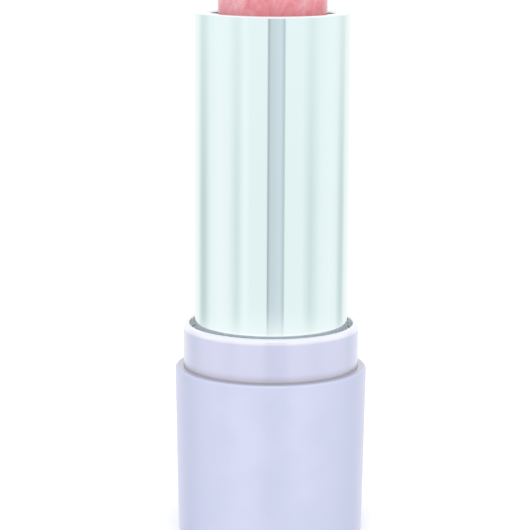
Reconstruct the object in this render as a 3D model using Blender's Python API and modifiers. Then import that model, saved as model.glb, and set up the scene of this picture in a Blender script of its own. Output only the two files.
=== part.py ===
"""Lipstick: a lavender base and collar, a silver sleeve that turns, and a bullet that it raises.

Metres, +Z up. The origin is the middle of the foot, on the axis that every round piece shares. The bullet
sits in a carrier cup whose two lugs pass through straight slots in a fixed guide tube and ride in two helical
slots of a spiral cam. The cam is fixed in the sleeve, so turning the sleeve drives the carrier up or down.
"""

import math

import bmesh
import bpy
from mathutils import Matrix

MM = 0.001

# Clearances.
FILL_GAP = 0.1 * MM  # bullet to carrier cup
PRESS_GAP = 0.1 * MM  # round pieces pressed into one another
RUNNING_GAP = 0.12 * MM  # round pieces that turn or slide in one another
SEAT_GAP = 0.3 * MM  # faces that rest on one another
LUG_GAP = 0.15 * MM  # lug to the slots' edges
CUT_OVERRUN = 2.0 * MM  # how far a cutter stands clear of what it cuts

# Radii, worked outwards from the standard bullet by walls and clearances.
BULLET_RADIUS = 6.05 * MM
CUP_WALL = 0.55 * MM
GUIDE_WALL = 0.6 * MM
CAM_WALL = 0.56 * MM
SLEEVE_WALL = 0.4 * MM
RECESS_WIDTH = 0.8 * MM  # open ring between sleeve and collar
COLLAR_WALL = 0.45 * MM
RIM_WIDTH = 0.85 * MM  # flat ring on top of the base shell
BASE_TAPER = 0.35 * MM  # how much narrower the foot is than the rim
CUP_BORE = BULLET_RADIUS + FILL_GAP
CUP_RADIUS = CUP_BORE + CUP_WALL
GUIDE_BORE = CUP_RADIUS + RUNNING_GAP
GUIDE_RADIUS = GUIDE_BORE + GUIDE_WALL
CAM_BORE = GUIDE_RADIUS + RUNNING_GAP
CAM_RADIUS = CAM_BORE + CAM_WALL
SLEEVE_BORE = CAM_RADIUS + PRESS_GAP
SLEEVE_RADIUS = SLEEVE_BORE + SLEEVE_WALL
COLLAR_BORE = SLEEVE_RADIUS + RECESS_WIDTH
COLLAR_RADIUS = COLLAR_BORE + COLLAR_WALL
INSERT_RADIUS = COLLAR_BORE - PRESS_GAP
SHELL_MOUTH = COLLAR_RADIUS + PRESS_GAP
SHELL_BORE = INSERT_RADIUS + PRESS_GAP
RIM_RADIUS = SHELL_MOUTH + RIM_WIDTH
FOOT_RADIUS = RIM_RADIUS - BASE_TAPER

# Heights of the outside.
BASE_HEIGHT = 19.0 * MM
COLLAR_RISE = 5.0 * MM  # collar above the base's rim
SLEEVE_RISE = 35.0 * MM  # sleeve above the collar
COLLAR_TOP = BASE_HEIGHT + COLLAR_RISE
SLEEVE_TOP = COLLAR_TOP + SLEEVE_RISE

# Base shell.
FOOT_RECESS_DEPTH = 0.4 * MM
FOOT_LAND = 1.35 * MM  # flat ring that the lipstick stands on
SHELL_FLOOR = 1.2 * MM
FOOT_ROUND = 0.5 * MM
RIM_ROUND = 0.3 * MM
MOUTH_CHAMFER = 0.1 * MM
COLLAR_DEPTH = 6.7 * MM  # collar below the base's rim
SHELL_FLOOR_TOP = FOOT_RECESS_DEPTH + SHELL_FLOOR
SHELL_STEP_Z = BASE_HEIGHT - COLLAR_DEPTH - SEAT_GAP

# Weight in the base.
WEIGHT_HEIGHT = 5.0 * MM
WEIGHT_CHAMFER = 0.4 * MM
WEIGHT_RADIUS = SHELL_BORE - SEAT_GAP
WEIGHT_Z = SHELL_FLOOR_TOP + SEAT_GAP

# Collar.
COLLAR_LIP_ROUND = 0.05 * MM
COLLAR_ROUND = COLLAR_WALL - COLLAR_LIP_ROUND
COLLAR_Z = BASE_HEIGHT - COLLAR_DEPTH

# Where the sleeve and the cam end, and what they turn on.
SLEEVE_DEPTH = 3.1 * MM  # sleeve below the collar's top
WASHER_HEIGHT = 0.6 * MM
FLANGE_HEIGHT = 1.0 * MM
SLEEVE_Z = COLLAR_TOP - SLEEVE_DEPTH
WASHER_Z = SLEEVE_Z - SEAT_GAP - WASHER_HEIGHT
FLANGE_TOP = WASHER_Z - SEAT_GAP
FLANGE_Z = FLANGE_TOP - FLANGE_HEIGHT

# Insert that joins base shell, collar and guide tube.
INSERT_FLOOR = 1.2 * MM
SOCKET_WALL = 1.3 * MM
SLEEVE_CLEARANCE = 0.25 * MM  # insert to the turning sleeve
RECESS_DEPTH = 1.2 * MM  # insert's top edge below the collar's
INSERT_BORE = SLEEVE_RADIUS + SLEEVE_CLEARANCE
SOCKET_BORE = INSERT_RADIUS - SOCKET_WALL
INSERT_Z = WEIGHT_Z + WEIGHT_HEIGHT + SEAT_GAP
INSERT_FLOOR_TOP = INSERT_Z + INSERT_FLOOR
INSERT_SHOULDER_Z = FLANGE_Z - SEAT_GAP
INSERT_TOP = COLLAR_TOP - RECESS_DEPTH

# Outer sleeve.
LIP_WIDTH = 1.4 * MM  # how far the sleeve's top turns inwards
LIP_CHAMFER = 0.12 * MM
SLEEVE_INNER_ROUND = 0.05 * MM
SLEEVE_ROUND = SLEEVE_WALL + SLEEVE_INNER_ROUND
MOUTH_RADIUS = SLEEVE_RADIUS - LIP_WIDTH

# Guide tube.
PLUG_CHAMFER = 0.4 * MM
BEAD_HEIGHT = 0.8 * MM  # snap bead that keeps the cam down
BEAD_REACH = 0.42 * MM
BEAD_CHAMFER = 0.3 * MM
PLUG_RADIUS = SOCKET_BORE - PRESS_GAP
PLUG_Z = INSERT_FLOOR_TOP + SEAT_GAP
GUIDE_TOP = SLEEVE_TOP - SLEEVE_WALL - SEAT_GAP
BEAD_RADIUS = GUIDE_RADIUS + BEAD_REACH
BEAD_Z = GUIDE_TOP - BEAD_HEIGHT

# Spiral cam.
CAM_TOP = BEAD_Z - SEAT_GAP
LEAD = 14.0 * MM  # rise in one turn of the sleeve

# Carrier cup, its lugs and its travel.
CUP_HEIGHT = 9.0 * MM
CUP_FLOOR = 1.0 * MM
CUP_HOLE_RADIUS = 1.5 * MM
CUP_CHAMFER = 0.2 * MM
CUP_SETBACK = 0.6 * MM  # cup's edge below the sleeve's top when fully raised
LUG_RADIUS = 0.9 * MM
LUG_RISE = 1.5 * MM  # lugs' axis above the cup's underside
LUG_TIP_GAP = 0.1 * MM  # lugs' ends inside the cam's outer face
TRAVEL_UP = 3.5 * MM  # from rest to fully raised
TRAVEL_DOWN = 17.5 * MM  # from rest to fully lowered
CUP_Z = SLEEVE_TOP - CUP_SETBACK - CUP_HEIGHT - TRAVEL_UP
LUG_Z = CUP_Z + LUG_RISE
LUG_ROOT = (CUP_BORE + CUP_RADIUS) / 2.0
LUG_TIP = CAM_RADIUS - LUG_TIP_GAP
SLOT_RADIUS = LUG_RADIUS + LUG_GAP

# Bullet.
TIP_DEPTH = 1.0 * MM  # tip below the sleeve's top when fully lowered
DOME_HEIGHT = 9.5 * MM
TIP_SETBACK = 1.0 * MM  # the slanted face starts this far behind the axis
SLANT_ANGLE = math.radians(50)
BULLET_Z = CUP_Z + CUP_FLOOR + FILL_GAP
BULLET_TOP = SLEEVE_TOP - TIP_DEPTH + TRAVEL_DOWN

# Flower cast in the bullet. Its stem holds it in the mould, so it ends in the bullet's foot.
CAST_GAP = 0.1 * MM  # flower to the gel round it
PETAL_END_GAP = 0.3 * MM  # the same along a petal, which leaves its slanting sides the cast gap
GEL_COVER = 0.6 * MM  # gel outside the petals' tips
FLOWER_RISE = 11.5 * MM  # flower's heart above the bullet's foot
HEART_RADIUS = 1.0 * MM
STEM_RADIUS = 0.5 * MM
PETAL_ROOT = 0.6 * MM  # petals' roots from the axis, inside the heart
RING_STEP = 0.3 * MM  # from one ring's roots up to the next ring's
PETAL_THICKNESS = 0.25 * MM
FLOWER_Z = BULLET_Z + FLOWER_RISE
PETAL_RINGS = ((7, 8, 38), (6, 30, 58), (5, 60, 74))  # petals, and their rise at root and tip in degrees
RING_TURN_SHARES = (0.0, 0.4, 0.2)  # of the angle between two petals
RING_REACH_SHARES = (1.0, 0.9, 0.5)  # of the widest reach
PETAL_EDGE_SHARES = (0.35, 0.96, 0.96)  # of a petal's length: the notch beside it, then its tip's corners

# Counts of facets.
OUTER_SIDES = 64
INNER_SIDES = 48
LUG_SIDES = 18  # puts a flat, not a corner, at the lug's top
END_STEPS = 5  # lines across each round end of a slot
ROUND_STEPS = 4
STEM_SIDES = 8
PETAL_BANDS = 2  # bands of faces along a petal
DOME_STEPS = 8
TURN_STEPS = 44  # steps of a helical slot in one turn

FULL_TURN = 2.0 * math.pi
SHARP_ANGLE = math.radians(35)
MERGE_DISTANCE = 0.01 * MM


def new_collection(name):
    """A collection of this name, linked into the scene."""
    collection = bpy.data.collections.new(name)
    bpy.context.scene.collection.children.link(collection)
    return collection


def new_material(name, color, roughness, metallic=0.0, transmission=0.0):
    """A Principled material of one colour, given as linear RGB."""
    material = bpy.data.materials.new(name)
    material.use_nodes = True
    shader = material.node_tree.nodes["Principled BSDF"]
    shader.inputs["Base Color"].default_value = (*color, 1.0)
    shader.inputs["Roughness"].default_value = roughness
    shader.inputs["Metallic"].default_value = metallic
    shader.inputs["Transmission Weight"].default_value = transmission
    return material


def add_object(name, mesh, collection, height=0.0, parent=None):
    """An object with its origin on the axis, at the given height."""
    thing = bpy.data.objects.new(name, mesh)
    thing.location = (0.0, 0.0, height)
    thing.parent = parent
    collection.objects.link(thing)
    return thing


def turned(name, profile, closed, sides, pieces, height, parent=None):
    """A piece turned about the axis from (radius, height) points, which run down its outer side."""
    points = [(radius, 0.0, level - height) for radius, level in profile]
    edges = [(index, index + 1) for index in range(len(points) - 1)]
    if closed:
        edges.append((len(points) - 1, 0))
    mesh = bpy.data.meshes.new(name)
    mesh.from_pydata(points, edges, [])
    piece = add_object(name, mesh, pieces, height, parent)
    screw = piece.modifiers.new("turn", "SCREW")
    screw.steps = sides
    screw.render_steps = sides
    screw.use_merge_vertices = True
    screw.merge_threshold = MERGE_DISTANCE
    return piece


def rounded(middle_radius, middle_height, radius, start, end):
    """(radius, height) points of an arc between two directions in degrees, for a profile."""
    points = []
    for step in range(ROUND_STEPS + 1):
        angle = math.radians(start + (end - start) * step / ROUND_STEPS)
        points.append((middle_radius + radius * math.cos(angle), middle_height + radius * math.sin(angle)))
    return points


def combine(piece, tool, operation="DIFFERENCE"):
    """Cuts the tool out of the piece, or joins it on with UNION."""
    boolean = piece.modifiers.new(tool.name, "BOOLEAN")
    boolean.operation = operation
    boolean.solver = "EXACT"
    boolean.object = tool


def finish(piece, material):
    """Makes the modifiers' result the piece's own mesh, smooth between its edges, with its material."""
    bpy.context.view_layer.update()
    graph = bpy.context.evaluated_depsgraph_get()
    mesh = bpy.data.meshes.new_from_object(piece.evaluated_get(graph))
    piece.modifiers.clear()
    piece.data = mesh
    mesh.name = piece.name
    mesh.materials.append(material)
    mesh.shade_smooth()
    mesh.set_sharp_from_angle(angle=SHARP_ANGLE)


def as_tool(tool):
    """Shows a cutter, or a shape to join on, as wire and leaves it out of renders."""
    tool.hide_render = True
    tool.display_type = "WIRE"
    return tool


def add_tool(name, bm, tools):
    """A cutter, or a shape to join on, from a bmesh."""
    bmesh.ops.recalc_face_normals(bm, faces=bm.faces)
    mesh = bpy.data.meshes.new(name)
    bm.to_mesh(mesh)
    bm.free()
    return as_tool(add_object(name, mesh, tools))


def lug_rod(name, angle, tools):
    """A level rod that points outwards at this angle, from inside the cup's wall to the lug's end."""
    length = LUG_TIP - LUG_ROOT
    bm = bmesh.new()
    bmesh.ops.create_cone(
        bm, cap_ends=True, segments=LUG_SIDES, radius1=LUG_RADIUS, radius2=LUG_RADIUS, depth=length
    )
    lay_down = Matrix.Rotation(FULL_TURN / 4.0, 3, "Y")
    bmesh.ops.rotate(bm, verts=bm.verts, cent=(0.0, 0.0, 0.0), matrix=lay_down)
    bmesh.ops.translate(bm, verts=bm.verts, vec=((LUG_ROOT + LUG_TIP) / 2.0, 0.0, LUG_Z))
    bmesh.ops.rotate(bm, verts=bm.verts, cent=(0.0, 0.0, 0.0), matrix=Matrix.Rotation(angle, 3, "Z"))
    return add_tool(name, bm, tools)


def slot_rungs(length, steps):
    """(distance along, half width) of the lines across a round-ended slot, from its foot to its head."""
    end_rungs = []
    for index in range(END_STEPS):
        angle = FULL_TURN / 4.0 * (2 * index + 1) / (2 * END_STEPS - 1)
        end_rungs.append((SLOT_RADIUS * math.cos(angle), SLOT_RADIUS * math.sin(angle)))
    rungs = [(-reach, half_width) for reach, half_width in end_rungs]
    rungs += [(length * step / steps, SLOT_RADIUS) for step in range(1, steps)]
    rungs += [(length + reach, half_width) for reach, half_width in reversed(end_rungs)]
    return rungs


def loft(name, sections, tools):
    """A cutter through a row of four-cornered sections, closed at both ends."""
    bm = bmesh.new()
    rings = [[bm.verts.new(point) for point in section] for section in sections]
    bm.faces.new(rings[0])
    bm.faces.new(rings[-1])
    for near, far in zip(rings, rings[1:]):
        for index in range(len(near)):
            bm.faces.new((near[index - 1], near[index], far[index], far[index - 1]))
    bmesh.ops.triangulate(bm, faces=bm.faces)
    return add_tool(name, bm, tools)


def straight_slot(name, tools):
    """The cutter of both straight slots: a round-ended bar through the guide tube along X."""
    reach = GUIDE_RADIUS + CUT_OVERRUN
    low = LUG_Z - TRAVEL_DOWN
    sections = []
    for along, half_width in slot_rungs(TRAVEL_DOWN + TRAVEL_UP, 1):
        corners = [(-reach, -half_width), (reach, -half_width), (reach, half_width), (-reach, half_width)]
        sections.append([(x, y, low + along) for x, y in corners])
    return loft(name, sections, tools)


def helical_slot(name, offset, tools):
    """The cutter of one helical slot: a round-ended bar bent round the cam along the path of a lug."""
    inner = CAM_BORE - CAM_WALL
    outer = CAM_RADIUS + CAM_WALL
    middle = (CAM_BORE + CAM_RADIUS) / 2.0
    rise = TRAVEL_DOWN + TRAVEL_UP
    slope = math.atan2(LEAD, FULL_TURN * middle)
    start = offset - FULL_TURN * TRAVEL_DOWN / LEAD
    sections = []
    for along, half_width in slot_rungs(rise / math.sin(slope), math.ceil(TURN_STEPS * rise / LEAD)):
        corners = []
        for side, radius in ((-1, inner), (-1, outer), (1, outer), (1, inner)):
            across = side * half_width
            angle = start + (along * math.cos(slope) - across * math.sin(slope)) / middle
            height = LUG_Z - TRAVEL_DOWN + along * math.sin(slope) + across * math.cos(slope)
            corners.append((radius * math.cos(angle), radius * math.sin(angle), height))
        sections.append(corners)
    return loft(name, sections, tools)


def slanted_box(name, edge_y, edge_z, angle, tools):
    """A box whose underside passes through the line x, edge_y, edge_z and rises towards +Y at the angle."""
    side = 2.0 * (DOME_HEIGHT + BULLET_RADIUS)
    bm = bmesh.new()
    bmesh.ops.create_cube(bm, size=side)
    bmesh.ops.translate(bm, verts=bm.verts, vec=(0.0, 0.0, side / 2.0))
    bmesh.ops.rotate(bm, verts=bm.verts, cent=(0.0, 0.0, 0.0), matrix=Matrix.Rotation(angle, 3, "X"))
    bmesh.ops.translate(bm, verts=bm.verts, vec=(0.0, edge_y, edge_z))
    return add_tool(name, bm, tools)


def flower_stem(name, gap, foot, collection, axis):
    """The flower's heart and its stem down to the foot, turned, and grown all round by the gap."""
    heart = HEART_RADIUS + gap
    stem = STEM_RADIUS + gap
    meeting_angle = math.degrees(math.acos(stem / heart))
    profile = rounded(0.0, FLOWER_Z, heart, 90, -meeting_angle) + [(stem, foot), (0.0, foot)]
    return turned(name, profile, False, STEM_SIDES, collection, foot, axis)


def petal_ring(name, ring, gap, end_gap, tools):
    """One ring of petals, grown by the gaps: a sheet extruded outwards from the heart, with a lobed edge."""
    petals, root_rise, tip_rise = PETAL_RINGS[ring]
    root_slope, tip_slope = math.radians(root_rise), math.radians(tip_rise)
    reach = (BULLET_RADIUS - GEL_COVER) * RING_REACH_SHARES[ring]
    length = (reach - PETAL_ROOT) / math.cos((root_slope + tip_slope) / 2.0)
    steps = len(PETAL_EDGE_SHARES)
    bm = bmesh.new()
    bmesh.ops.create_circle(bm, segments=petals * steps, radius=PETAL_ROOT)
    edges = bm.edges[:]
    for band in range(1, PETAL_BANDS + 1):
        made = bmesh.ops.extrude_edge_only(bm, edges=edges)["geom"]
        verts = [item for item in made if isinstance(item, bmesh.types.BMVert)]
        lines = [item for item in made if isinstance(item, bmesh.types.BMEdge)]
        edges = [line for line in lines if set(line.verts) <= set(verts)]
        for vert in verts:
            heading = math.atan2(vert.co.x, vert.co.y)  # from +Y, where the circle starts
            edge_share = PETAL_EDGE_SHARES[round(heading / FULL_TURN * petals * steps) % steps]
            along = (length * edge_share + end_gap) * band / PETAL_BANDS
            slope = root_slope + (tip_slope - root_slope) * along / length / 2.0
            radius = PETAL_ROOT + along * math.cos(slope)
            vert.co = (radius * math.sin(heading), radius * math.cos(heading), along * math.sin(slope))
    turn = Matrix.Rotation(FULL_TURN * RING_TURN_SHARES[ring] / petals, 3, "Z")
    bmesh.ops.rotate(bm, verts=bm.verts, cent=(0.0, 0.0, 0.0), matrix=turn)
    bmesh.ops.translate(bm, verts=bm.verts, vec=(0.0, 0.0, FLOWER_Z + RING_STEP * (ring - 1)))
    bmesh.ops.triangulate(bm, faces=bm.faces, quad_method="FIXED")
    sheet = add_tool(name, bm, tools)
    thickness = sheet.modifiers.new("thickness", "SOLIDIFY")
    thickness.thickness = PETAL_THICKNESS + 2.0 * gap
    thickness.offset = 0.0
    return sheet


def base_shell(pieces, material):
    """The outer shell of the base: closed below with a shallow recess, open above for the collar."""
    recess_radius = FOOT_RADIUS - FOOT_ROUND - FOOT_LAND
    profile = [(0.0, SHELL_FLOOR_TOP), (SHELL_BORE, SHELL_FLOOR_TOP), (SHELL_BORE, SHELL_STEP_Z)]
    profile += [(SHELL_MOUTH, SHELL_STEP_Z), (SHELL_MOUTH, BASE_HEIGHT - MOUTH_CHAMFER)]
    profile += [(SHELL_MOUTH + MOUTH_CHAMFER, BASE_HEIGHT)]
    profile += rounded(RIM_RADIUS - RIM_ROUND, BASE_HEIGHT - RIM_ROUND, RIM_ROUND, 90, 0)
    profile += rounded(FOOT_RADIUS - FOOT_ROUND, FOOT_ROUND, FOOT_ROUND, 0, -90)
    profile += [(recess_radius, 0.0), (recess_radius, FOOT_RECESS_DEPTH), (0.0, FOOT_RECESS_DEPTH)]
    finish(turned("base_shell", profile, False, OUTER_SIDES, pieces, 0.0), material)


def base_weight(pieces, material):
    """The steel slug that lies on the shell's floor."""
    top = WEIGHT_Z + WEIGHT_HEIGHT
    edge = WEIGHT_RADIUS - WEIGHT_CHAMFER
    profile = [(0.0, top), (edge, top), (WEIGHT_RADIUS, top - WEIGHT_CHAMFER)]
    profile += [(WEIGHT_RADIUS, WEIGHT_Z + WEIGHT_CHAMFER), (edge, WEIGHT_Z), (0.0, WEIGHT_Z)]
    finish(turned("base_weight", profile, False, INNER_SIDES, pieces, WEIGHT_Z), material)


def base_insert(pieces, material):
    """The plastic cup in the shell, with the collar round its top and the guide tube's plug inside it."""
    profile = [(0.0, INSERT_FLOOR_TOP), (SOCKET_BORE, INSERT_FLOOR_TOP), (SOCKET_BORE, INSERT_SHOULDER_Z)]
    profile += [(INSERT_BORE, INSERT_SHOULDER_Z), (INSERT_BORE, INSERT_TOP)]
    profile += [(INSERT_RADIUS, INSERT_TOP), (INSERT_RADIUS, INSERT_Z), (0.0, INSERT_Z)]
    finish(turned("base_insert", profile, False, OUTER_SIDES, pieces, INSERT_Z), material)


def collar(pieces, material):
    """The thin ring that stands up out of the base, rounded over at its top."""
    profile = rounded(COLLAR_RADIUS - COLLAR_ROUND, COLLAR_TOP - COLLAR_ROUND, COLLAR_ROUND, 90, 0)
    profile += [(COLLAR_RADIUS, COLLAR_Z), (COLLAR_BORE, COLLAR_Z)]
    profile += [(COLLAR_BORE, COLLAR_TOP - COLLAR_LIP_ROUND)]
    finish(turned("collar", profile, True, OUTER_SIDES, pieces, COLLAR_Z), material)


def guide_tube(pieces, tools, material):
    """The fixed tube with two straight slots, a plug and flange below and a snap bead on top."""
    profile = [(GUIDE_BORE, GUIDE_TOP), (BEAD_RADIUS - BEAD_CHAMFER, GUIDE_TOP)]
    profile += [(BEAD_RADIUS, GUIDE_TOP - BEAD_CHAMFER), (BEAD_RADIUS, BEAD_Z), (GUIDE_RADIUS, BEAD_Z)]
    profile += [(GUIDE_RADIUS, FLANGE_TOP), (SLEEVE_RADIUS, FLANGE_TOP), (SLEEVE_RADIUS, FLANGE_Z)]
    profile += [(PLUG_RADIUS, FLANGE_Z), (PLUG_RADIUS, PLUG_Z + PLUG_CHAMFER)]
    profile += [(PLUG_RADIUS - PLUG_CHAMFER, PLUG_Z), (GUIDE_BORE, PLUG_Z)]
    tube = turned("guide_tube", profile, True, INNER_SIDES, pieces, PLUG_Z)
    combine(tube, straight_slot("guide_slots", tools))
    finish(tube, material)


def brake_washer(pieces, material):
    """The soft ring under the cam that gives the twist its drag."""
    top = WASHER_Z + WASHER_HEIGHT
    profile = [(CAM_BORE, top), (CAM_RADIUS, top), (CAM_RADIUS, WASHER_Z), (CAM_BORE, WASHER_Z)]
    finish(turned("brake_washer", profile, True, INNER_SIDES, pieces, WASHER_Z), material)


def spiral_cam(pieces, tools, material, axis):
    """The tube fixed in the sleeve, with a round-ended helical slot for each lug."""
    profile = [(CAM_BORE, CAM_TOP), (CAM_RADIUS, CAM_TOP), (CAM_RADIUS, SLEEVE_Z), (CAM_BORE, SLEEVE_Z)]
    cam = turned("spiral_cam", profile, True, INNER_SIDES, pieces, SLEEVE_Z, axis)
    combine(cam, helical_slot("first_helix", 0.0, tools))
    combine(cam, helical_slot("second_helix", FULL_TURN / 2.0, tools))
    finish(cam, material)


def outer_sleeve(pieces, material, axis):
    """The silver sleeve, turned inwards at its top to a mouth for the bullet."""
    lip_under = SLEEVE_TOP - SLEEVE_WALL
    profile = [(MOUTH_RADIUS, SLEEVE_TOP - LIP_CHAMFER), (MOUTH_RADIUS + LIP_CHAMFER, SLEEVE_TOP)]
    profile += rounded(SLEEVE_RADIUS - SLEEVE_ROUND, SLEEVE_TOP - SLEEVE_ROUND, SLEEVE_ROUND, 90, 0)
    profile += [(SLEEVE_RADIUS, SLEEVE_Z), (SLEEVE_BORE, SLEEVE_Z)]
    profile += [(SLEEVE_BORE, lip_under - SLEEVE_INNER_ROUND), (SLEEVE_BORE - SLEEVE_INNER_ROUND, lip_under)]
    profile += [(MOUTH_RADIUS, lip_under)]
    finish(turned("outer_sleeve", profile, True, OUTER_SIDES, pieces, SLEEVE_Z, axis), material)


def carrier_cup(pieces, tools, material, axis):
    """The cup that holds the bullet, with a hole in its floor and a round lug on each side near its foot."""
    top = CUP_Z + CUP_HEIGHT
    floor_top = CUP_Z + CUP_FLOOR
    profile = [(CUP_BORE, top), (CUP_RADIUS - CUP_CHAMFER, top), (CUP_RADIUS, top - CUP_CHAMFER)]
    profile += [(CUP_RADIUS, CUP_Z + CUP_CHAMFER), (CUP_RADIUS - CUP_CHAMFER, CUP_Z)]
    profile += [(CUP_HOLE_RADIUS, CUP_Z), (CUP_HOLE_RADIUS, floor_top), (CUP_BORE, floor_top)]
    cup = turned("carrier_cup", profile, True, INNER_SIDES, pieces, CUP_Z, axis)
    for name, angle in (("right_lug", 0.0), ("left_lug", FULL_TURN / 2.0)):
        combine(cup, lug_rod(name, angle, tools), "UNION")
    finish(cup, material)


def bullet(pieces, tools, material, axis):
    """The stick of colour: a round bar with a domed end, cut on a slant that faces the front."""
    setback_share = TIP_SETBACK / BULLET_RADIUS
    dome_z = BULLET_TOP - DOME_HEIGHT * math.sqrt(1.0 - setback_share**2)
    profile = []
    for step in range(DOME_STEPS + 1):
        angle = FULL_TURN / 4.0 * (1.0 - step / DOME_STEPS)
        profile.append((BULLET_RADIUS * math.cos(angle), dome_z + DOME_HEIGHT * math.sin(angle)))
    profile += [(BULLET_RADIUS, BULLET_Z), (0.0, BULLET_Z)]
    stick = turned("bullet", profile, False, INNER_SIDES, pieces, BULLET_Z, axis)
    combine(stick, slanted_box("bullet_slant", TIP_SETBACK, BULLET_TOP, SLANT_ANGLE, tools))
    combine(stick, as_tool(flower_stem("stem_pocket", CAST_GAP, BULLET_Z - CUT_OVERRUN, tools, None)))
    for ring in range(len(PETAL_RINGS)):
        combine(stick, petal_ring(f"petal_pocket_{ring + 1}", ring, CAST_GAP, PETAL_END_GAP, tools))
    finish(stick, material)


def flower(pieces, tools, material, axis):
    """The dried flower that the bullet is cast round: three rings of petals on a heart and a short stem."""
    bloom = flower_stem("flower", 0.0, BULLET_Z, pieces, axis)
    for ring in range(len(PETAL_RINGS)):
        combine(bloom, petal_ring(f"petals_{ring + 1}", ring, 0.0, 0.0, tools), "UNION")
    finish(bloom, material)


def main():
    """Clears the scene and builds every piece."""
    for thing in list(bpy.data.objects):
        bpy.data.objects.remove(thing)
    pieces = new_collection("lipstick")
    tools = new_collection("cutters")
    lavender = new_material("lavender_lacquer", (0.66, 0.67, 0.88), 0.3)
    anodised = new_material("lavender_anodised", (0.66, 0.67, 0.88), 0.3, metallic=0.4)
    silver = new_material("bright_aluminium", (0.88, 0.9, 0.9), 0.08, metallic=1.0)
    steel = new_material("zinc_plated_steel", (0.6, 0.6, 0.6), 0.4, metallic=1.0)
    natural = new_material("natural_nylon", (0.86, 0.86, 0.83), 0.5)
    slick = new_material("white_acetal", (0.92, 0.92, 0.9), 0.35)
    silicone = new_material("grey_silicone", (0.25, 0.25, 0.26), 0.7)
    gel = new_material("rose_gel", (0.8, 0.16, 0.22), 0.15, transmission=0.6)
    petal = new_material("dried_petal", (0.6, 0.1, 0.15), 0.6)

    base_shell(pieces, lavender)
    base_weight(pieces, steel)
    base_insert(pieces, natural)
    collar(pieces, anodised)
    guide_tube(pieces, tools, natural)
    brake_washer(pieces, silicone)
    sleeve_axis = add_object("sleeve_axis", None, pieces)
    spiral_cam(pieces, tools, slick, sleeve_axis)
    outer_sleeve(pieces, silver, sleeve_axis)
    carrier_axis = add_object("carrier_axis", None, pieces)
    carrier_cup(pieces, tools, slick, carrier_axis)
    bullet(pieces, tools, gel, carrier_axis)
    flower(pieces, tools, petal, carrier_axis)


main()
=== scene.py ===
"""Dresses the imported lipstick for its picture: finer outer pieces, a rose gel bullet with a flower
cast in it, the finish of every piece, and a plain white studio.

Metres, +Z up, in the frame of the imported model. The lipstick's front looks along -Y, to the camera.
"""

import logging
import math
import random
from dataclasses import dataclass
from enum import Enum

import bmesh
import bpy
from mathutils import Matrix, Vector

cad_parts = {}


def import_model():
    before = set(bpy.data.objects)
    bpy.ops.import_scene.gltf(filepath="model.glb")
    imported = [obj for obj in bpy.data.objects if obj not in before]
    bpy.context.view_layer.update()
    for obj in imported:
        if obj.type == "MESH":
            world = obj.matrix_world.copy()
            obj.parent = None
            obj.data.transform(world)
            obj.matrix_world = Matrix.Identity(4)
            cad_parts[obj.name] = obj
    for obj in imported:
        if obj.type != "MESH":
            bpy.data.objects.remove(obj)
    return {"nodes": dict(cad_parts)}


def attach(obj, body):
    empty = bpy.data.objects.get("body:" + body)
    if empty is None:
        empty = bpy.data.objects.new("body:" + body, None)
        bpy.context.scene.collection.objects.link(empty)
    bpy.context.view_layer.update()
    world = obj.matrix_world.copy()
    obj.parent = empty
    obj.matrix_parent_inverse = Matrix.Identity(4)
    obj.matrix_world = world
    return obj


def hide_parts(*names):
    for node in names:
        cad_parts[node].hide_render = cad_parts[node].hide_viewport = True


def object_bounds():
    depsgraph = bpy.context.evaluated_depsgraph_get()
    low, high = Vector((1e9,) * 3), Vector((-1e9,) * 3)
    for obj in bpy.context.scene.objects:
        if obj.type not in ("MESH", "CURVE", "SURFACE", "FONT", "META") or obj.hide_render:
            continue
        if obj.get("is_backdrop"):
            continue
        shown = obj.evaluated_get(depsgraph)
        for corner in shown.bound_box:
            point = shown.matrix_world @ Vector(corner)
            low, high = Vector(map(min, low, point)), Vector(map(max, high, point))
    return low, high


MM = 0.001
FULL_TURN = 2.0 * math.pi
QUARTER_TURN = FULL_TURN / 4.0
WHITE = (1.0, 1.0, 1.0, 1.0)
# How near is the same place, how near is welded, and how far outside a rounding its shading ends.
NEAR = 0.002 * MM
WELD = 0.001 * MM
HOLD_WIDTH = 0.02 * MM
SHARP_ANGLE = math.radians(35)
# Between which values noise mostly lies, and where streaks drawn from it begin and end.
NOISE_SPAN = (0.3, 0.7)
STREAK_SPAN = (0.36, 0.62)
# How far a wall has turned away from the eye when its deeper tone, a painted shade of its sides,
# begins and is full.
SIDE_SHADE_SPAN = (0.08, 0.5)
# The wave texture passes this many radians of its wave in a metre at a scale of 1.
WAVE_RADIANS = 20.0
LOG = logging.getLogger("lipstick")

Point = tuple[float, float]
Span = tuple[float, float]
Tint = tuple[float, float, float]
Color = tuple[float, float, float, float]
Nodes = dict[str, bpy.types.Object]
Shape = bmesh.types.BMesh
Material = bpy.types.Material
Node = bpy.types.Node
Socket = bpy.types.NodeSocket
Tree = bpy.types.NodeTree


class Body(Enum):
    """The bodies of the frame that a piece can ride on."""

    BASE = "base"
    SLEEVE = "sleeve"
    CARRIER = "carrier"


def linear(color: str) -> Color:
    """Turns an sRGB colour to the linear one that shaders read.

    Args:
        color: six hex digits, such as "d3d8f3".

    Returns:
        Linear red, green and blue, and an alpha of 1.
    """
    values = [int(color[start : start + 2], 16) / 255.0 for start in (0, 2, 4)]
    red, green, blue = (v / 12.92 if v <= 0.04045 else ((v + 0.055) / 1.055) ** 2.4 for v in values)
    return (red, green, blue, 1.0)


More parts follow.
